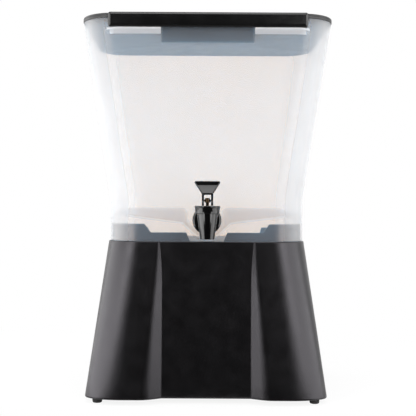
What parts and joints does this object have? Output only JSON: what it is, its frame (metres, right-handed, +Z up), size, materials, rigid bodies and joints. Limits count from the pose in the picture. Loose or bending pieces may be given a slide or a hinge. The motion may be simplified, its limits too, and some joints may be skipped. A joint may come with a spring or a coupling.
{
  "type": "beverage dispenser",
  "caption": "Countertop beverage dispenser: flared translucent tank with a lift-off tray lid and a paddle tap with a sprung valve, standing on a hollow flared base with rubber feet.",
  "frame": {"origin": "under the middle of the whole object, on the surface its feet stand on", "axes": "+Z up, +X to the right seen from the front, the tap faces -Y"},
  "size_m": [0.3836, 0.3278, 0.587],
  "materials": {
    "black_grained": "fine grained black moulded plastic",
    "foot_rubber": "soft black rubber",
    "screw_steel": "plain stainless steel",
    "tank_plastic": "frosted translucent plastic",
    "black_satin": "satin black plastic",
    "black_bar": "smooth black plastic",
    "black_gloss": "glossy black plastic",
    "gasket_rubber": "black rubber",
    "stem_metal": "dull brownish metal",
    "cup_silicone": "milky silicone rubber"
  },
  "bodies": {
    "base": {"base_shell": "black_grained", "foot_front_left": "foot_rubber", "foot_front_right": "foot_rubber", "foot_rear_left": "foot_rubber", "foot_rear_right": "foot_rubber", "foot_screws": "screw_steel"},
    "tank": {"tank": "tank_plastic", "tap_body": "black_gloss", "outer_gasket": "gasket_rubber", "inner_gasket": "gasket_rubber", "tap_nut": "black_gloss", "tap_bonnet": "black_gloss", "return_spring": "screw_steel"},
    "lid": {"lid": "black_satin", "lid_grip_bar": "black_bar", "grip_screws": "screw_steel"},
    "valve": {"seat_cup": "cup_silicone", "spring_washer": "screw_steel"},
    "stem": {"tap_stem": "stem_metal"},
    "handle": {"tap_handle": "black_gloss", "handle_pin": "stem_metal"}
  },
  "joints": [
    {"name": "tank_lift", "type": "slide", "parent": "base", "child": "tank", "axis": [0, 0, 1], "range_m": [0, 0.08]},
    {"name": "lid_lift", "type": "slide", "parent": "tank", "child": "lid", "axis": [0, 0, 1], "range_m": [0, 0.08]},
    {"name": "valve_lift", "type": "slide", "parent": "tank", "child": "valve", "axis": [0, 0, 1], "range_m": [0, 0.004], "stiffness_N_per_m": 800, "springref_m": -0.008, "deforming": ["return_spring"]},
    {"name": "stem_swivel", "type": "hinge", "parent": "valve", "child": "stem", "pos_m": [0, -0.145, 0.28], "axis": [0, 0, 1], "continuous": true},
    {"name": "handle_tilt", "type": "hinge", "parent": "stem", "child": "handle", "pos_m": [0, -0.145, 0.3066], "axis": [1, 0, 0], "range_deg": [0, 40]}
  ],
  "couplings": [
    {"joint": "handle_tilt", "follows": "valve_lift", "rad_per_m": 174.53}
  ]
}
